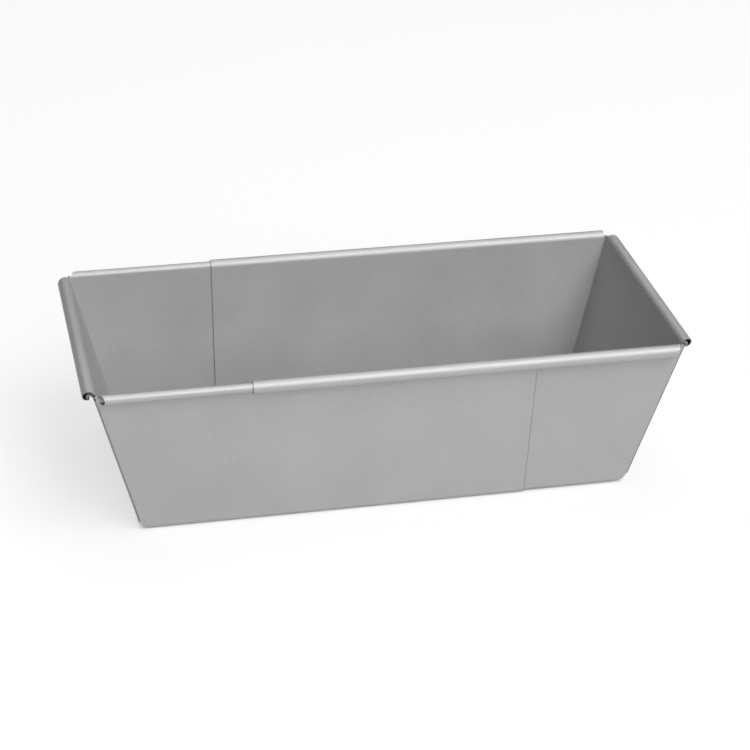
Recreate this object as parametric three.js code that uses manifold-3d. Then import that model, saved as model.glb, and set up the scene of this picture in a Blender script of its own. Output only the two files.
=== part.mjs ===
import * as THREE from 'three';
import { mergeVertices } from 'three/addons/utils/BufferGeometryUtils.js';
import Module from 'manifold-3d';

// Adjustable loaf pan: two trays folded from sheet steel, each closed at one end and open at the other.
// The inner tray lies in the outer one, and its side rims are rolled over the outer tray's side rims,
// so that the rims are the rails along which the pan is drawn out or pushed together.
// Millimetres, +Z up, X along the pan. The origin is on the table under the middle of the pan.

// The pan as it stands
const panHeight = 70; // table to the top of the inner tray's rims
const panWidth = 115; // over the side rims
const panLength = 248; // over the end rims, part drawn out
const trayLength = 182; // end rim to open edge, the same on both trays
const floorWidth = 88; // between the outer tray's side walls, where they would meet the table
const floorSetback = 22.8; // from the end rim to where the end wall would meet the table

// Sheet and sliding fit
const sheet = 0.4;
const slideGap = 0.25;

// Bends, measured on the outside of the outer tray
const sideBend = 2.5;
const endBend = 5.5;

// Rolled rims, with the outside radius and how far round each is rolled from its wall
const rimRadius = 2;
const rimRoll = THREE.MathUtils.degToRad(300);
const wrapRoll = THREE.MathUtils.degToRad(285);
const endRimRadius = 2.7;
const endRimRoll = THREE.MathUtils.degToRad(262);
const rimCutback = 0.6; // from the end wall to the start of a side rim, clear of the folded corner
const endRimInset = 2; // from a side wall to the open end of an end rim
const postDrop = 0.35; // from the top of the rims to the corner of sheet that stands between them
const postSlit = 0.3; // on either side of that corner

// Folded corners: the spare sheet is a double flap laid flat on the outside of the end wall, and the
// flap's top is rolled up in the end rim
const flapLayers = 2;
const flapRoll = THREE.MathUtils.degToRad(238);
const flapRollGap = 1.1; // across the end rim, what the flap's roll leaves free
const flapLift = 0.1; // from the end wall's face to the start of the flap's roll
const flapRollDrop = 0.65; // from the middle of the end rim down to the middle of the flap's roll
const flapRollSetback = 0.3; // from the open end of the end rim to the flap's roll

// How finely round stretches are cut, as half the number of steps in an arc
const arcSteps = 10;

// The finish, a pale grey metallic coat on steel
const coatColour = 0xb2b1b0;
const coatRoughness = 0.5;
const coatMetalness = 0.6;

const wasm = await Module();
wasm.setup();

// Each layer of sheet lies this far inside the one before it
const layerPitch = sheet + slideGap;
const wrapRadius = rimRadius + layerPitch;
const rimCentre = { out: panWidth / 2 - wrapRadius, up: panHeight - wrapRadius };
const roomAround = panHeight; // how far a cutting solid reaches past the tray

// A fold is a floor, a bend, a leaning wall and a rolled rim, seen along the bend. Its outer face runs
// through the corner where floor and wall would meet, and the wall runs into the rim without a kink.
function makeFold(corner, bend, rim, rimInside) {
  const out = rim.out - corner.out;
  const up = rim.up - corner.up;
  const lean = Math.acos(rimInside / Math.hypot(out, up)) - Math.atan2(up, out);
  const bendCentre = {
    out: corner.out - (bend * (1 - Math.sin(lean))) / Math.cos(lean),
    up: corner.up + bend,
  };
  return { corner, bend, bendCentre, rim, rimInside, lean };
}

// Points along the face that lies a given depth in from a fold's outer face, from floor to rim
function facePoints(fold, depth, roll) {
  const rollStart = Math.PI - fold.lean;
  const path = new THREE.Path();
  path.absarc(fold.bendCentre.out, fold.bendCentre.up, fold.bend - depth, -Math.PI / 2, -fold.lean, false);
  path.absarc(fold.rim.out, fold.rim.up, fold.rimInside + depth, rollStart, rollStart - roll, true);
  return path.getPoints(arcSteps);
}

// A point on the wall's face, carried straight on to a given height
function wallPoint(fold, depth, height) {
  const rise = height - fold.corner.up;
  const out = fold.corner.out + rise * Math.tan(fold.lean) - depth / Math.cos(fold.lean);
  return new THREE.Vector2(out, height);
}

function mirrored(points) {
  return points.map((point) => new THREE.Vector2(-point.x, point.y)).reverse();
}

const sideFold = makeFold({ out: floorWidth / 2, up: 0 }, sideBend, rimCentre, rimRadius - sheet);

// The end fold of a tray, in a frame with its zero at the outermost line of the end rim
function makeEndFold(depth) {
  const rimTop = rimCentre.up + rimRadius + depth;
  const corner = { out: -floorSetback, up: depth };
  const rim = { out: -endRimRadius, up: rimTop - endRimRadius };
  return makeFold(corner, endBend, rim, endRimRadius - sheet);
}

// Points along the same face where the wall is carried straight on past the start of the rim
function plainPoints(fold, depth, height) {
  return [...facePoints(fold, depth, 0), wallPoint(fold, depth, height)];
}

// The trough section of a tray, floor and both side walls, between its outer and inner faces
function troughShape(outer, inner) {
  const outerAcross = [...mirrored(outer), ...outer];
  return new THREE.Shape([...mirrored(inner), ...inner, ...outerAcross.reverse()]);
}

// The space that a trough's outer face encloses, carried up past the rims
function troughSpace(depth) {
  const face = plainPoints(sideFold, depth, panHeight + roomAround);
  return new THREE.Shape([...mirrored(face), ...face]);
}

// The section of an end wall from the start of its bend, between its outer and inner faces
function endShape(outer, inner) {
  return new THREE.Shape([...inner, ...outer.reverse()]);
}

// The space on the tray's side of the middle of an end wall's sheet. It reaches below the floor and
// above the rims.
function endSpace(fold) {
  const inward = -trayLength - roomAround;
  return new THREE.Shape([
    new THREE.Vector2(inward, -roomAround),
    new THREE.Vector2(fold.bendCentre.out, -roomAround),
    ...plainPoints(fold, sheet / 2, panHeight + roomAround),
    new THREE.Vector2(inward, panHeight + roomAround),
  ]);
}

// A point up the slope of a fold's wall from the floor corner, standing out from the wall's outer face
function slopePoint(fold, along, proud) {
  const out = fold.corner.out + along * Math.sin(fold.lean) + proud * Math.cos(fold.lean);
  const up = fold.corner.up + along * Math.cos(fold.lean) - proud * Math.sin(fold.lean);
  return new THREE.Vector2(out, up);
}

// How far up the slope the flat of a flap runs, from the top of the floor bend to the start of its roll
function flapFlat(fold) {
  const rimOut = fold.rim.out - fold.corner.out;
  const rimUp = fold.rim.up - fold.corner.up;
  const rimAlong = rimOut * Math.sin(fold.lean) + rimUp * Math.cos(fold.lean);
  return {
    low: fold.bend * Math.tan(Math.PI / 4 - fold.lean / 2),
    high: rimAlong - flapRollDrop,
  };
}

// The section of a double flap, seated in half the thickness of the end wall. Its top lifts off the wall
// into the roll.
function flapShape(fold, roll) {
  const { low, high } = flapFlat(fold);
  const seat = -sheet / 2;
  const proud = flapLayers * sheet;
  const liftStart = high - proud;
  const rollPlace = fold.rimInside - flapRollGap / 2;
  const rollCentre = slopePoint(fold, high, rollPlace);
  const rollOutside = rollPlace - flapLift;
  const rollStart = Math.PI - fold.lean;
  const outer = new THREE.Path();
  outer.absarc(rollCentre.x, rollCentre.y, rollOutside, rollStart, rollStart - roll, true);
  const inner = new THREE.Path();
  inner.absarc(rollCentre.x, rollCentre.y, rollOutside - proud, rollStart - roll, rollStart, false);
  return new THREE.Shape([
    slopePoint(fold, low, seat),
    slopePoint(fold, liftStart, seat),
    ...outer.getPoints(arcSteps),
    ...inner.getPoints(arcSteps),
    slopePoint(fold, liftStart, proud),
    slopePoint(fold, low, proud),
  ]);
}

// The outline of one flap in the plane of the end wall, across the wall and up its slope. The spare sheet
// between the two walls is halved by its fold, which gives the flap's free edge.
function flapOutline(fold, depth, side) {
  const halfFloor = sideFold.corner.out - (depth * (1 - Math.sin(sideFold.lean))) / Math.cos(sideFold.lean);
  const edgeLean = Math.atan(Math.tan(sideFold.lean) * Math.cos(fold.lean));
  const sideEdgeLean = Math.atan(Math.tan(fold.lean) * Math.cos(sideFold.lean));
  const flapAngle = (Math.PI / 2 - edgeLean - sideEdgeLean) / 2;
  const foldLean = flapAngle - edgeLean;
  const top = flapFlat(fold).high + 2 * fold.rimInside;
  const outside = panWidth;
  const shape = new THREE.Shape();
  shape.moveTo(side * outside, 0);
  shape.lineTo(side * halfFloor, 0);
  shape.lineTo(side * (halfFloor - top * Math.tan(foldLean)), top);
  shape.lineTo(side * outside, top);
  return shape;
}

// Solids from sections drawn across the pan or along it
function extruded(shape, length) {
  return new THREE.ExtrudeGeometry(shape, { depth: length, bevelEnabled: false });
}

function toSolid(geometry) {
  const plain = geometry.clone();
  plain.deleteAttribute('normal');
  plain.deleteAttribute('uv');
  const merged = mergeVertices(plain);
  const vertProperties = new Float32Array(merged.attributes.position.array);
  const triVerts = new Uint32Array(merged.index.array);
  return new wasm.Manifold(new wasm.Mesh({ numProp: 3, vertProperties, triVerts }));
}

function toGeometry(solid) {
  const mesh = solid.getMesh();
  const geometry = new THREE.BufferGeometry();
  geometry.setAttribute('position', new THREE.BufferAttribute(mesh.vertProperties, 3));
  geometry.setIndex(new THREE.BufferAttribute(mesh.triVerts, 1));
  const faceted = geometry.toNonIndexed();
  faceted.computeVertexNormals();
  return faceted;
}

const axisX = new THREE.Vector3(1, 0, 0);
const axisY = new THREE.Vector3(0, 1, 0);
const axisZ = new THREE.Vector3(0, 0, 1);

// A section drawn across the pan, run along X
function alongX(shape, from, to) {
  const place = new THREE.Matrix4().makeBasis(axisY, axisZ, axisX).setPosition(from, 0, 0);
  return toSolid(extruded(shape, to - from).applyMatrix4(place));
}

// A section drawn along the pan with the end wall outwards, run along Y
function alongY(shape, from, to) {
  const place = new THREE.Matrix4().makeBasis(axisX.clone().negate(), axisZ, axisY).setPosition(0, from, 0);
  return toSolid(extruded(shape, to - from).applyMatrix4(place));
}

// The space over and under one flap's outline
function flapSpace(fold, depth, side) {
  const upSlope = new THREE.Vector3(-Math.sin(fold.lean), 0, Math.cos(fold.lean));
  const inward = new THREE.Vector3(Math.cos(fold.lean), 0, Math.sin(fold.lean));
  const start = new THREE.Vector3(-fold.corner.out, 0, fold.corner.up).addScaledVector(inward, -roomAround);
  const place = new THREE.Matrix4().makeBasis(axisY, upSlope, inward).setPosition(start);
  return toSolid(extruded(flapOutline(fold, depth, side), 2 * roomAround).applyMatrix4(place));
}

// A tray with its end rim at X = 0 and its open edge at X = trayLength. The depth places it as the
// outer tray (0) or as the next layer of sheet inside it.
function trayGeometry(depth, sideRoll) {
  const endFold = makeEndFold(depth);
  const rimHeight = endFold.rim.up;
  const endFaceAtRim = -wallPoint(endFold, sheet, rimHeight).x;
  const rimStart = endFaceAtRim + rimCutback;
  const endRimReach = wallPoint(sideFold, depth + sheet, rimHeight).x - endRimInset;

  const postTop = rimHeight + endRimRadius - postDrop;

  const inside = depth + sheet;
  const plainSides = troughShape(facePoints(sideFold, depth, 0), facePoints(sideFold, inside, 0));
  const postedSides = troughShape(
    plainPoints(sideFold, depth, postTop),
    plainPoints(sideFold, inside, postTop),
  );
  const rimmedSides = troughShape(
    facePoints(sideFold, depth, sideRoll),
    facePoints(sideFold, inside, sideRoll),
  );
  const trough = alongX(plainSides, 0, rimStart)
    .add(alongX(postedSides, 0, rimStart - postSlit))
    .add(alongX(rimmedSides, rimStart, trayLength))
    .intersect(alongY(endSpace(endFold), -panWidth, panWidth));

  const postReach = endRimReach + postSlit;
  const rollReach = endRimReach - flapRollSetback;
  const flaps = alongY(flapShape(endFold, 0), -panWidth, panWidth)
    .add(alongY(flapShape(endFold, flapRoll), -rollReach, rollReach))
    .intersect(flapSpace(endFold, depth, 1).add(flapSpace(endFold, depth, -1)));
  const plainEnd = endShape(facePoints(endFold, 0, 0), facePoints(endFold, sheet, 0));
  const postedEnd = endShape(plainPoints(endFold, 0, postTop), plainPoints(endFold, sheet, postTop));
  const rimmedEnd = endShape(facePoints(endFold, 0, endRimRoll), facePoints(endFold, sheet, endRimRoll));
  const end = alongY(plainEnd, -panWidth, panWidth)
    .add(alongY(postedEnd, -panWidth, -postReach))
    .add(alongY(postedEnd, postReach, panWidth))
    .add(alongY(rimmedEnd, -endRimReach, endRimReach))
    .add(flaps)
    .intersect(alongX(troughSpace(depth), -roomAround, trayLength));

  return toGeometry(trough.add(end));
}

const coatedSteel = new THREE.MeshStandardMaterial({
  name: 'coated_steel',
  color: coatColour,
  roughness: coatRoughness,
  metalness: coatMetalness,
});

const outerTray = new THREE.Mesh(trayGeometry(0, rimRoll), coatedSteel);
outerTray.name = 'outer_tray';
outerTray.position.x = -panLength / 2;

// The inner tray is turned end for end, so that the two open ends overlap
const innerTray = new THREE.Mesh(trayGeometry(layerPitch, wrapRoll), coatedSteel);
innerTray.name = 'inner_tray';
innerTray.rotation.z = Math.PI;
innerTray.position.x = panLength / 2;

const loafPan = new THREE.Group();
loafPan.name = 'adjustable_loaf_pan';
loafPan.add(outerTray, innerTray);

export default loafPan;
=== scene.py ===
import bpy
import bmesh
import math
from mathutils import Matrix, Vector


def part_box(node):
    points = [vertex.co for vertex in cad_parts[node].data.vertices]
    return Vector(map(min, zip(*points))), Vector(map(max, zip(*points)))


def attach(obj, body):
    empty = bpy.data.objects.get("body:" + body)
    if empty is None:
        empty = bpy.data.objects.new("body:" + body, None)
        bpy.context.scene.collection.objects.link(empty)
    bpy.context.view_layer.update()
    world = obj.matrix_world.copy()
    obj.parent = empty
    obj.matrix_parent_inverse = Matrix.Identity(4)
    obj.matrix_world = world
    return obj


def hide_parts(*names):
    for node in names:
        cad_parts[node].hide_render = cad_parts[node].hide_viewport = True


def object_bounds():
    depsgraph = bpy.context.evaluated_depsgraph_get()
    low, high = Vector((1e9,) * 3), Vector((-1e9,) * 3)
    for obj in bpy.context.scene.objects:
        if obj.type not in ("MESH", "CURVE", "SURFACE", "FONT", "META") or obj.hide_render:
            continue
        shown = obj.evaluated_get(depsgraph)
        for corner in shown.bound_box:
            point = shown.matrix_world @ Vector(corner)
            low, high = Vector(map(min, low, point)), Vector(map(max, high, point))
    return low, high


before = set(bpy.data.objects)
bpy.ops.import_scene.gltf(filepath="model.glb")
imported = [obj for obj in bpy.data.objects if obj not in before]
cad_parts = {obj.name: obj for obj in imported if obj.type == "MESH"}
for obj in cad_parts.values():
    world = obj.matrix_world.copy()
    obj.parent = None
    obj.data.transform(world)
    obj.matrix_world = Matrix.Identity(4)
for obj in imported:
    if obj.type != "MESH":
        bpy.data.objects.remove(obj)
cadLow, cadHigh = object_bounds()
outerLow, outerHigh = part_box("outer_tray")
print("frame loaded, box in mm:", [round(size * 1000, 2) for size in cadHigh - cadLow])

# both trays, in metres; the overall sizes are the frame's
pan = {
    "halfLength": cadHigh.x,
    "halfWidth": cadHigh.y,
    "height": cadHigh.z,
    "openEdge": outerHigh.x,
    "floorWidth": 0.088,  # where the outer side walls would meet the table
    "floorSetback": 0.0228,  # end rim to where the end wall would meet the table
    "sheet": 0.0004,
    "slideGap": 0.00025,
    "sideBend": 0.0025,
    "endBend": 0.0055,
    "rimRadius": 0.002,
    "rimRoll": math.radians(300),
    "wrapRoll": math.radians(285),  # the inner tray's side rims, which wrap the outer tray's
    "endRimRadius": 0.0027,
    "bendSteps": 9,
    "rollSteps": 28,
}
hair = 0.00002  # near enough to count as on the spot
layerPitch = pan["sheet"] + pan["slideGap"]
wrapRadius = pan["rimRadius"] + layerPitch
rimOut = pan["halfWidth"] - wrapRadius
rimUp = pan["height"] - wrapRadius


# the finishes: a satin metallic coat on what shows, and bare steel on the cut edges and inside the
# rolls; the bare finish is toned dark as painted shade inside the hollow rolls and along the open edge
coat = {
    "darkTone": (0.407, 0.404, 0.402, 1),
    "lightTone": (0.477, 0.474, 0.472, 1),
    "metallic": 0.38,
    "smoothest": 0.47,
    "roughest": 0.54,
    "grainScale": 1150,
    "cloudScale": 38,
    "grainDepth": 0.00002,
}
# bare steel on the cut edges, partly painted shade: its tones are set dark to paint the shade inside the
# rolls and the shade line along the open edge
bareAndShade = {
    "darkTone": (0.2, 0.198, 0.195, 1),
    "lightTone": (0.3, 0.297, 0.293, 1),
    "metallic": 1,
    "smoothest": 0.3,
    "roughest": 0.45,
    "grainScale": 2600,
    "cloudScale": 300,
    "grainDepth": 0.00003,
}
# how the grain is made and read in both finishes
grainLook = {
    "grainDetail": 3,
    "cloudDetail": 4,
    "darkestSum": 0.6,  # grain and clouding together
    "lightestSum": 1.4,
    "smoothestCloud": 0.3,  # clouding alone
    "roughestCloud": 0.7,
}


def addNoise(group, place, scale, detail):
    noise = group.nodes.new("ShaderNodeTexNoise")
    noise.inputs["Detail"].default_value = detail
    group.links.new(place, noise.inputs["Vector"])
    group.links.new(scale, noise.inputs["Scale"])
    return noise.outputs["Fac"]


# fine grain and wide clouding of a sheet, each as a value around a half
def makeGrainGroup():
    group = bpy.data.node_groups.new("sheetGrain", "ShaderNodeTree")
    group.interface.new_socket(name="Place", in_out="INPUT", socket_type="NodeSocketVector")
    for name in ("Grain Scale", "Cloud Scale"):
        group.interface.new_socket(name=name, in_out="INPUT", socket_type="NodeSocketFloat")
    for name in ("Grain", "Cloud"):
        group.interface.new_socket(name=name, in_out="OUTPUT", socket_type="NodeSocketFloat")
    given = group.nodes.new("NodeGroupInput")
    result = group.nodes.new("NodeGroupOutput")
    place = given.outputs["Place"]
    grain = addNoise(group, place, given.outputs["Grain Scale"], grainLook["grainDetail"])
    cloud = addNoise(group, place, given.outputs["Cloud Scale"], grainLook["cloudDetail"])
    group.links.new(grain, result.inputs["Grain"])
    group.links.new(cloud, result.inputs["Cloud"])
    return group


def makeFinish(name, look, grainGroup):
    finish = bpy.data.materials.new(name)
    finish.use_nodes = True
    nodes = finish.node_tree.nodes
    links = finish.node_tree.links
    shader = nodes["Principled BSDF"]
    shader.inputs["Metallic"].default_value = look["metallic"]
    coords = nodes.new("ShaderNodeTexCoord")
    grain = nodes.new("ShaderNodeGroup")
    grain.node_tree = grainGroup
    grain.inputs["Grain Scale"].default_value = look["grainScale"]
    grain.inputs["Cloud Scale"].default_value = look["cloudScale"]
    links.new(coords.outputs["Object"], grain.inputs["Place"])

    # the tone follows the grain and the clouding
    blotch = nodes.new("ShaderNodeMath")
    blotch.operation = "ADD"
    links.new(grain.outputs["Grain"], blotch.inputs[0])
    links.new(grain.outputs["Cloud"], blotch.inputs[1])
    tone = nodes.new("ShaderNodeMapRange")
    tone.inputs["From Min"].default_value = grainLook["darkestSum"]
    tone.inputs["From Max"].default_value = grainLook["lightestSum"]
    links.new(blotch.outputs[0], tone.inputs["Value"])
    colour = nodes.new("ShaderNodeMix")
    colour.data_type = "RGBA"
    colour.inputs["A"].default_value = look["darkTone"]
    colour.inputs["B"].default_value = look["lightTone"]
    links.new(tone.outputs["Result"], colour.inputs["Factor"])
    links.new(colour.outputs["Result"], shader.inputs["Base Color"])

    gloss = nodes.new("ShaderNodeMapRange")
    gloss.inputs["From Min"].default_value = grainLook["smoothestCloud"]
    gloss.inputs["From Max"].default_value = grainLook["roughestCloud"]
    gloss.inputs["To Min"].default_value = look["smoothest"]
    gloss.inputs["To Max"].default_value = look["roughest"]
    links.new(grain.outputs["Cloud"], gloss.inputs["Value"])
    links.new(gloss.outputs["Result"], shader.inputs["Roughness"])

    relief = nodes.new("ShaderNodeBump")
    relief.inputs["Distance"].default_value = look["grainDepth"]
    links.new(grain.outputs["Grain"], relief.inputs["Height"])
    links.new(relief.outputs["Normal"], shader.inputs["Normal"])
    return finish


sheetGrain = makeGrainGroup()
coatedSteel = makeFinish("coatedSteel", coat, sheetGrain)
bareSteelAndShade = makeFinish("bareSteelAndShade", bareAndShade, sheetGrain)
print("finishes made:", coatedSteel.name, bareSteelAndShade.name)


# picking by place, in edit mode
def openMesh():
    return bmesh.from_edit_mesh(bpy.context.object.data)


def pickVerts(test):
    bpy.ops.mesh.select_mode(type="VERT")
    bpy.ops.mesh.select_all(action="DESELECT")
    mesh = openMesh()
    for vert in mesh.verts:
        if test(vert.co):
            vert.select_set(True)
    mesh.select_flush(True)
    bmesh.update_edit_mesh(bpy.context.object.data)


def pickEdges(test, freeOnly=True):
    bpy.ops.mesh.select_mode(type="EDGE")
    bpy.ops.mesh.select_all(action="DESELECT")
    mesh = openMesh()
    for edge in mesh.edges:
        if (edge.is_boundary or not freeOnly) and all(test(vert.co) for vert in edge.verts):
            edge.select_set(True)
    bmesh.update_edit_mesh(bpy.context.object.data)


def pickFaces(test):
    bpy.ops.mesh.select_mode(type="FACE")
    bpy.ops.mesh.select_all(action="DESELECT")
    mesh = openMesh()
    for face in mesh.faces:
        face.select_set(all(test(vert.co) for vert in face.verts))
    bmesh.update_edit_mesh(bpy.context.object.data)


# gives the picked faces the bare finish, whose dark tone is painted shade
def leaveBareAndShaded():
    bpy.context.object.active_material_index = 1
    bpy.ops.object.material_slot_assign()


# cuts the picked faces by a plane, and drops what lies behind it if asked
def cutAcross(place, normal, drop=False):
    bpy.ops.mesh.bisect(plane_co=place, plane_no=normal, clear_inner=drop, threshold=hair / 20)


# the lean of a wall that runs from a floor corner into a rolled rim without a kink
def wallLean(run, rise, rimInside):
    return math.acos(rimInside / math.hypot(run, rise)) - math.atan2(rise, run)


sideLean = wallLean(rimOut - pan["floorWidth"] / 2, rimUp, pan["rimRadius"] - pan["sheet"])
endInside = pan["endRimRadius"] - pan["sheet"]


def endRimUp(depth):
    return rimUp + pan["rimRadius"] + depth - pan["endRimRadius"]


def endLean(depth):
    return wallLean(pan["floorSetback"] - pan["endRimRadius"], endRimUp(depth) - depth, endInside)


# how far out a bent wall's outer face stands at a height
def bentWall(height, centre, centreUp, radius, lean):
    bendTop = centreUp - radius * math.sin(lean)
    if height < bendTop:
        return centre + math.sqrt(max(0, radius**2 - (centreUp - height) ** 2))
    return centre + radius * math.cos(lean) + (height - bendTop) * math.tan(lean)


def bendInset(bend, lean):
    return bend * (1 - math.sin(lean)) / math.cos(lean)


def sideFace(height, depth):
    centre = pan["floorWidth"] / 2 - bendInset(pan["sideBend"], sideLean)
    return bentWall(height, centre, pan["sideBend"], pan["sideBend"] - depth, sideLean)


def endFace(height, depth):
    lean = endLean(depth)
    centre = pan["halfLength"] - pan["floorSetback"] - bendInset(pan["endBend"], lean)
    return bentWall(height, centre, depth + pan["endBend"], pan["endBend"], lean)


# heights at which the two bends and the walls are stepped, floor to rim
def ringHeights(depth):
    heights = {depth}
    for step in range(1, pan["bendSteps"] + 1):
        share = step / pan["bendSteps"]
        sideTurn = share * (math.pi / 2 - sideLean)
        endTurn = share * (math.pi / 2 - endLean(depth))
        heights.add(pan["sideBend"] - (pan["sideBend"] - depth) * math.cos(sideTurn))
        heights.add(depth + pan["endBend"] * (1 - math.cos(endTurn)))
    ordered = [depth]
    for height in sorted(heights):
        if height - ordered[-1] > hair:
            ordered.append(height)
    return ordered


tray = {
    "topStrip": 0.0015,  # band of wall under the rims that takes their cuts
    "rimCutback": 0.0006,  # end wall to the start of a side rim
    "sideSlant": 0.0022,  # how much further the outer side of a slanted side rim is cut back
    "endRimInset": 0.0012,  # side wall to the open end of an end rim
    "endRoll": math.radians(262),
    "endSlant": 0.0045,  # how much shorter the end rim is at the free edge of its roll
    "postGap": 0.00012,  # slit on either side of the corner post
    "postRise": 0.0012,  # how far the corner post stands up between the rims
    "seamSlack": 0.001,  # how far from its seam the end rim's edge is looked for
    "edgeRound": 0.00005,
    "edgeSteps": 2,
    "edgeAngle": math.radians(60),
    "openEdgeRound": 0.0003,  # the open end's outer edge
    "roundSteps": 4,
    "smoothAngle": math.radians(40),
}


def raiseRing(height, newHeight, depth):
    side = sideFace(height, depth)
    newSide = sideFace(newHeight, depth)
    end = endFace(height, depth)
    newEnd = endFace(newHeight, depth)
    bpy.ops.mesh.extrude_edges_move(TRANSFORM_OT_translate={"value": (0, 0, newHeight - height)})
    bpy.ops.transform.resize(value=(1, newSide / side, 1), center_override=(0, 0, 0))
    pickVerts(lambda co: abs(co.z - newHeight) < hair / 4 and co.x < 0)
    bpy.ops.transform.translate(value=(end - newEnd, 0, 0))
    pickEdges(lambda co: abs(co.z - newHeight) < hair / 4)


def addFinishes(sheet):
    sheet.data.materials.append(coatedSteel)
    sheet.data.materials.append(bareSteelAndShade)


def startFloor(name, depth):
    bpy.ops.object.select_all(action="DESELECT")
    bpy.ops.mesh.primitive_plane_add(size=2)
    bpy.context.object.name = name
    addFinishes(bpy.context.object)
    bpy.ops.object.mode_set(mode="EDIT")
    closedEdge = -endFace(depth, depth)
    half = (pan["openEdge"] - closedEdge) / 2
    bpy.ops.transform.resize(value=(half, sideFace(depth, depth), 1), center_override=(0, 0, 0))
    bpy.ops.transform.translate(value=(closedEdge + half, 0, depth))
    # the end and the two sides, which grow up; the open edge stays
    pickEdges(lambda co: True)
    mesh = openMesh()
    for edge in mesh.edges:
        if all(vert.co.x > 0 for vert in edge.verts):
            edge.select_set(False)
    bmesh.update_edit_mesh(bpy.context.object.data)


def rollSideRim(sideways, depth, top, rimStart, roll, cut):
    inside = pan["rimRadius"] - pan["sheet"] + depth
    seam = (sideways * (rimOut - inside * math.cos(sideLean)), rimUp + inside * math.sin(sideLean))
    pickEdges(lambda co: abs(co.z - top) < hair and co.x > rimStart - hair and sideways * co.y > 0)
    bpy.ops.mesh.extrude_edges_move(
        TRANSFORM_OT_translate={"value": (0, seam[0] - sideways * sideFace(top, depth), seam[1] - top)}
    )
    bpy.ops.mesh.spin(
        steps=pan["rollSteps"],
        angle=sideways * roll,
        center=(0, sideways * rimOut, rimUp),
        axis=(1, 0, 0),
    )
    # the start of the roll is cut off square, or on the slant
    rollFoot = rimUp - inside - pan["sheet"] - hair
    rollInner = rimOut - inside - hair
    # the roll's inside takes the bare finish, darkened as painted shade in the hollow roll
    pickFaces(lambda co: co.x > rimStart - hair and co.z > rollFoot and sideways * co.y > rollInner)
    leaveBareAndShaded()
    slant = Vector((2 * inside, -sideways * cut, 0)).normalized()
    cutAcross((rimStart - hair, seam[0], rimUp), slant, True)


# both ends of a roll across the pan are drawn in step by step, from its seam to its free edge
def slantRoll(centre, seam, roll, reach, slant):
    for step in range(1, pan["rollSteps"] + 1):
        share = step / pan["rollSteps"]
        place = centre + Matrix.Rotation(-roll * share, 3, "Y") @ (seam - centre)

        def atEnds(co):
            onStep = math.hypot(co.x - place.x, co.z - place.z) < hair
            return onStep and abs(abs(co.y) - reach) < hair

        pickVerts(atEnds)
        bpy.ops.transform.resize(value=(1, 1 - slant * share / reach, 1), center_override=(0, 0, 0))


def rollEndRim(depth, top, reach):
    lean = endLean(depth)
    centre = pan["halfLength"] - pan["endRimRadius"]
    seamOut = centre - endInside * math.cos(lean)
    seamUp = endRimUp(depth) + endInside * math.sin(lean)
    middle = Vector((-centre, 0, endRimUp(depth)))

    def underSeam(co):
        nearSeam = co.x < tray["seamSlack"] - seamOut and abs(co.y) < reach + hair
        return nearSeam and abs(co.z - top) < hair

    pickEdges(underSeam)
    bpy.ops.mesh.extrude_edges_move(
        TRANSFORM_OT_translate={"value": (endFace(top, depth) - seamOut, 0, seamUp - top)}
    )
    bpy.ops.mesh.spin(steps=pan["rollSteps"], angle=tray["endRoll"], center=middle, axis=(0, 1, 0))
    rollFoot = endRimUp(depth) - pan["endRimRadius"]
    # the roll's inside takes the bare finish, darkened as painted shade in the hollow roll
    pickFaces(lambda co: co.z > rollFoot and co.x < hair - seamOut and abs(co.y) < reach + hair)
    leaveBareAndShaded()
    slantRoll(middle, Vector((-seamOut, 0, seamUp)), tray["endRoll"], reach, tray["endSlant"])


# the sheet at each closed corner stands up between the end rim and the side rims
def raisePosts(depth, top, rimStart, reach):
    gap = tray["postGap"]
    rise = tray["postRise"]
    postStart = rimStart - gap
    postReach = reach + gap
    stripFoot = top - tray["topStrip"] - hair

    def inNotch(co):
        inStrip = stripFoot < co.z < top + hair
        return inStrip and co.x < rimStart + hair and abs(co.y) > reach - hair

    def onTop(co):
        return abs(co.z - top) < hair and co.x < postStart + hair and abs(co.y) > postReach - hair

    def onRise(co):
        return co.z > top + rise - hair and co.x < postStart + hair and abs(co.y) > postReach - hair

    pickFaces(inNotch)
    cutAcross((postStart, 0, 0), (1, 0, 0))
    for sideways in (-1, 1):
        pickFaces(inNotch)
        cutAcross((0, sideways * postReach, 0), (0, 1, 0))
    pickEdges(onTop)
    bpy.ops.mesh.extrude_edges_move(TRANSFORM_OT_translate={"value": (0, 0, rise)})
    for sideways in (-1, 1):
        pickVerts(lambda co: onRise(co) and sideways * co.y > postReach + hair)
        bpy.ops.transform.translate(value=(0, sideways * rise * math.tan(sideLean), 0))
    pickVerts(lambda co: onRise(co) and co.x < postStart - hair)
    bpy.ops.transform.translate(value=(-rise * math.tan(endLean(depth)), 0, 0))


# faces turned away from the given side, then the sheet gets its thickness towards that side
def finishSheet(thickness, towards):
    bpy.ops.mesh.select_all(action="SELECT")
    bpy.ops.mesh.remove_doubles(threshold=hair / 10)
    bpy.ops.mesh.normals_make_consistent(inside=False)
    lowest = min(openMesh().faces, key=lambda face: face.calc_center_median().z)
    if lowest.normal.dot(towards) > 0:
        bpy.ops.mesh.flip_normals()
    bpy.ops.object.mode_set(mode="OBJECT")
    sheet = bpy.context.object
    wall = sheet.modifiers.new("sheet", "SOLIDIFY")
    wall.thickness = thickness
    wall.offset = -1
    wall.use_even_offset = True
    wall.use_quality_normals = True
    wall.material_offset = -1  # the roll is bare only on the side that it closes in, where its dark tone is painted shade
    wall.material_offset_rim = 1
    bpy.ops.object.modifier_apply(modifier="sheet")


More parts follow.
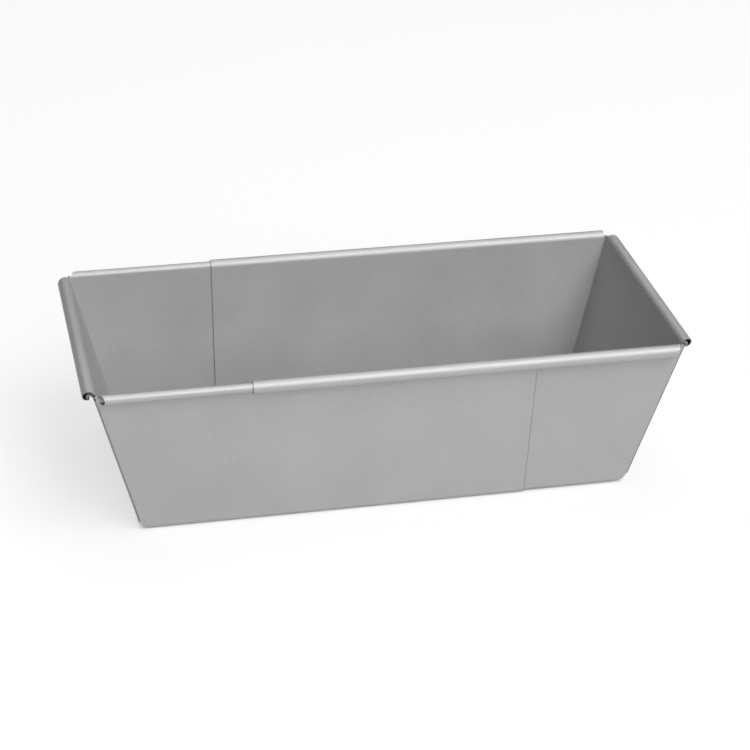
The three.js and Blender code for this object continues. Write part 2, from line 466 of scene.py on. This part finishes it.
def softenOpenEdge(depth, top):
    def onOuterEdge(co):
        atEnd = abs(co.x - pan["openEdge"]) < hair and co.z < top + hair
        return atEnd and abs(abs(co.y) - sideFace(co.z, depth)) < hair

    bpy.ops.object.mode_set(mode="EDIT")
    pickEdges(onOuterEdge, False)
    steps = tray["roundSteps"]
    # the rounded open edge takes the bare finish, whose dark tone paints a shade line along the edge
    bpy.ops.mesh.bevel(offset=tray["openEdgeRound"], segments=steps, affect="EDGES", material=1)
    bpy.ops.object.mode_set(mode="OBJECT")


# one end wall's folded corner flap: two layers laid on the outside, with the top rolled into the end rim
flap = {
    "layers": 2,
    "rollInside": 0.00095,
    "rollDrop": 0.00065,  # below the middle of the end rim
    "roll": math.radians(238),
    "slant": 0.0035,  # how much shorter the roll is at its free edge
    "foldRound": 0.00036,
    "cornerRound": 0.00075,
    "rollEndGap": 0.0003,  # the flap's roll stands this far back in the end rim's open end
}


def makeFlap(depth, reach):
    lean = endLean(depth)
    out = Vector((-math.cos(lean), 0, -math.sin(lean)))
    upSlope = Vector((-math.sin(lean), 0, math.cos(lean)))
    foot = Vector((pan["floorSetback"] - pan["halfLength"], 0, depth))
    thick = flap["layers"] * pan["sheet"]
    proud = thick + hair
    rimCentre = Vector((pan["endRimRadius"] - pan["halfLength"], 0, endRimUp(depth)))
    low = pan["endBend"] * math.tan(math.pi / 4 - lean / 2)
    high = (rimCentre - foot).dot(upSlope) - flap["rollDrop"]
    # the spare sheet at a corner is halved by its fold, which is the flap's free edge
    wallEdge = math.atan(math.tan(sideLean) * math.cos(lean))
    sideEdge = math.atan(math.tan(lean) * math.cos(sideLean))
    foldLean = (math.pi / 2 - wallEdge - sideEdge) / 2 - wallEdge
    halfFloor = pan["floorWidth"] / 2 - bendInset(depth, sideLean)

    def spot(along, across):
        return foot + out * proud + upSlope * along + Vector((0, across, 0))

    def cornerAt(along):
        return sideFace(spot(along, 0).z, depth)

    def foldAt(along):
        return halfFloor - along * math.tan(foldLean)

    bpy.ops.object.select_all(action="DESELECT")
    bpy.ops.mesh.primitive_plane_add(size=pan["sheet"])
    addFinishes(bpy.context.object)
    bpy.ops.object.mode_set(mode="EDIT")
    corners = [spot(along, edge(along)) for along in (low, high) for edge in (foldAt, cornerAt)]
    starts = [vert.co.copy() for vert in openMesh().verts]
    for start, corner in zip(starts, corners):
        pickVerts(lambda co: (co - start).length < hair)
        bpy.ops.transform.translate(value=corner - start)
    rollEnd = reach - flap["rollEndGap"]
    pickFaces(lambda co: True)
    cutAcross((0, rollEnd, 0), (0, 1, 0))
    top = spot(high, 0).z
    pickEdges(lambda co: abs(co.z - top) < hair and co.y < rollEnd + hair)
    middle = spot(high, 0) + out * flap["rollInside"]
    bpy.ops.mesh.spin(steps=pan["rollSteps"], angle=flap["roll"], center=middle, axis=(0, 1, 0))
    # the flap's roll takes the bare finish, darkened as painted shade inside the end rim
    pickFaces(lambda co: (co - foot).dot(upSlope) > high - hair or (co - foot).dot(out) > proud + hair)
    leaveBareAndShaded()
    slantRoll(middle, spot(high, 0), flap["roll"], rollEnd, flap["slant"])
    finishSheet(thick, -out)

    # the fold is round, and so is the corner where the side wall's sheet turns into the flap
    bpy.ops.object.mode_set(mode="EDIT")
    steps = tray["roundSteps"]

    def onFold(co):
        return co.z < top + hair and abs(co.y - foldAt((co - foot).dot(upSlope))) < 2 * hair

    def onCorner(co):
        outside = (co - foot).dot(out) > proud - hair
        return outside and abs(co.y - cornerAt((co - foot).dot(upSlope))) < 2 * hair

    pickEdges(onFold, False)
    bpy.ops.mesh.bevel(offset=flap["foldRound"], segments=steps, affect="EDGES")
    pickEdges(onCorner, False)
    bpy.ops.mesh.bevel(offset=flap["cornerRound"], segments=steps, affect="EDGES")
    bpy.ops.object.mode_set(mode="OBJECT")
    twin = bpy.context.object.modifiers.new("twin", "MIRROR")
    twin.use_axis = (False, True, False)
    bpy.ops.object.modifier_apply(modifier="twin")
    return bpy.context.object


def makeTray(name, depth, roll, slantedSides):
    heights = ringHeights(depth)
    sideTop = rimUp + (pan["rimRadius"] - pan["sheet"] + depth) * math.sin(sideLean)
    endTop = endRimUp(depth) + endInside * math.sin(endLean(depth))
    top = min(sideTop, endTop) - 2 * hair
    heights += [top - tray["topStrip"], top]
    rimStart = pan["sheet"] + tray["rimCutback"] - endFace(top, depth)
    reach = sideFace(top, depth) - tray["endRimInset"]
    stripFoot = top - tray["topStrip"] - hair
    flaps = makeFlap(depth, reach)
    startFloor(name, depth)
    for low, high in zip(heights, heights[1:]):
        raiseRing(low, high, depth)
    pickFaces(lambda co: co.z > stripFoot and abs(co.y) > reach)
    cutAcross((rimStart, 0, 0), (1, 0, 0))
    for rimEnd in (reach, -reach):
        pickFaces(lambda co: co.z > stripFoot and co.x < rimStart - hair)
        cutAcross((0, rimEnd, 0), (0, 1, 0))
    raisePosts(depth, top, rimStart, reach)
    for sideways in (-1, 1):
        cut = tray["sideSlant"] if sideways in slantedSides else 0
        rollSideRim(sideways, depth, top, rimStart, roll, cut)
    rollEndRim(depth, top, reach)
    finishSheet(pan["sheet"], Vector((0, 0, 1)))
    softenOpenEdge(depth, top)
    made = bpy.context.object
    flaps.select_set(True)
    bpy.ops.object.join()
    edges = made.modifiers.new("edges", "BEVEL")
    edges.width = tray["edgeRound"]
    edges.segments = tray["edgeSteps"]
    edges.angle_limit = tray["edgeAngle"]
    bpy.ops.object.modifier_apply(modifier="edges")
    bpy.ops.object.shade_smooth_by_angle(angle=tray["smoothAngle"])
    flats = made.modifiers.new("flats", "WEIGHTED_NORMAL")
    flats.keep_sharp = True
    bpy.ops.object.modifier_apply(modifier="flats")
    print(name, "made:", len(made.data.polygons), "faces")
    return made


outerTray = makeTray("outerTray", 0, pan["rimRoll"], (-1, 1))
innerTray = makeTray("innerTray", layerPitch, pan["wrapRoll"], (1,))
innerTray.rotation_euler.z = math.pi  # turned end for end, so that the open ends overlap
bpy.ops.object.transform_apply(location=False, rotation=True, scale=False)
for trayPiece, body in ((outerTray, "outer_tray"), (innerTray, "inner_tray")):
    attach(trayPiece, body)
    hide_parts(body)
print("trays ride on their bodies")

# a pale floor under soft studio light
studio = {
    "floorSize": 12,
    "floorDrop": 0.00005,  # keeps the floor off the tray's own underside
    "floorRoughness": 0.9,
    "floorTone": (0.95, 0.95, 0.95, 1),  # as the camera and reflections see it
    "bounceTone": (0.6, 0.6, 0.6, 1),  # as it throws light back on the pan
    "whitening": 0.68,  # share of plain white that the camera and reflections see in the floor
    "contactLine": 0.003,  # how far from the pan's foot the camera sees the whitening fade
    "contactShade": 0.13,  # and how far reflections do
    "surroundings": 0,
    "sidePlace": Vector((0.8, -1, 2.2)),
    "sideSize": 1.6,
    "sidePower": 42,
    "frontPlace": Vector((0.2, -2.2, 1.55)),
    "frontSize": 1.6,
    "frontPower": 41,
    "topPlace": Vector((0, 0.9, 2.2)),
    "topSize": 2,
    "topPower": 21,
}


def makePaper():
    paper = bpy.data.materials.new("palePaper")
    paper.use_nodes = True
    nodes = paper.node_tree.nodes
    links = paper.node_tree.links
    sheet = nodes["Principled BSDF"]
    sheet.inputs["Roughness"].default_value = studio["floorRoughness"]
    sheet.inputs["Specular IOR Level"].default_value = 0
    glow = nodes.new("ShaderNodeEmission")
    rays = nodes.new("ShaderNodeLightPath")

    def combine(operation, first, second):
        step = nodes.new("ShaderNodeMath")
        step.operation = operation
        links.new(first, step.inputs[0])
        links.new(second, step.inputs[1])
        return step.outputs[0]

    def openness(reach):
        shade = nodes.new("ShaderNodeAmbientOcclusion")
        shade.inputs["Distance"].default_value = reach
        return shade.outputs["AO"]

    reflected = combine("MAXIMUM", rays.outputs["Is Glossy Ray"], rays.outputs["Is Transmission Ray"])
    tone = nodes.new("ShaderNodeMix")
    tone.data_type = "RGBA"
    tone.inputs["A"].default_value = studio["bounceTone"]
    tone.inputs["B"].default_value = studio["floorTone"]
    links.new(combine("MAXIMUM", rays.outputs["Is Camera Ray"], reflected), tone.inputs["Factor"])
    links.new(tone.outputs["Result"], sheet.inputs["Base Color"])

    reflected = combine("MULTIPLY", reflected, openness(studio["contactShade"]))
    direct = combine("MULTIPLY", rays.outputs["Is Camera Ray"], openness(studio["contactLine"]))
    share = nodes.new("ShaderNodeMath")
    share.operation = "MULTIPLY"
    share.inputs[1].default_value = studio["whitening"]
    links.new(combine("MAXIMUM", direct, reflected), share.inputs[0])
    whitened = nodes.new("ShaderNodeMixShader")
    links.new(share.outputs[0], whitened.inputs["Fac"])
    links.new(sheet.outputs["BSDF"], whitened.inputs[1])
    links.new(glow.outputs["Emission"], whitened.inputs[2])
    links.new(whitened.outputs["Shader"], nodes["Material Output"].inputs["Surface"])
    return paper


def addSoftbox(side):
    place = studio[side + "Place"]
    bpy.ops.object.light_add(type="AREA", location=place)
    softbox = bpy.context.object
    softbox.name = side + "Softbox"
    softbox.data.size = studio[side + "Size"]
    softbox.data.energy = studio[side + "Power"]
    softbox.rotation_euler = (-place).to_track_quat("-Z", "Y").to_euler()


bpy.ops.object.select_all(action="DESELECT")
bpy.ops.mesh.primitive_plane_add(size=studio["floorSize"], location=(0, 0, -studio["floorDrop"]))
floor = bpy.context.object
floor.name = "floor"
floor.data.materials.append(makePaper())
surroundings = bpy.data.worlds.new("surroundings")
surroundings.use_nodes = True
surroundings.node_tree.nodes["Background"].inputs["Strength"].default_value = studio["surroundings"]
bpy.context.scene.world = surroundings
for side in ("side", "front", "top"):
    addSoftbox(side)
print("floor and lights set")

# the camera stands where the photograph was taken from
viewpoint = {
    "place": (-0.185726, -0.830071, 0.502682),
    "turn": (1.07057, -0.01972, -0.21297),
    "lens": 110.5177,
    "sensor": 36,
}
bpy.ops.object.camera_add(location=viewpoint["place"], rotation=viewpoint["turn"])
camera = bpy.context.object
camera.data.sensor_width = viewpoint["sensor"]
camera.data.lens = viewpoint["lens"]
bpy.context.scene.camera = camera
bpy.context.scene.view_settings.view_transform = "Standard"
print("camera set")
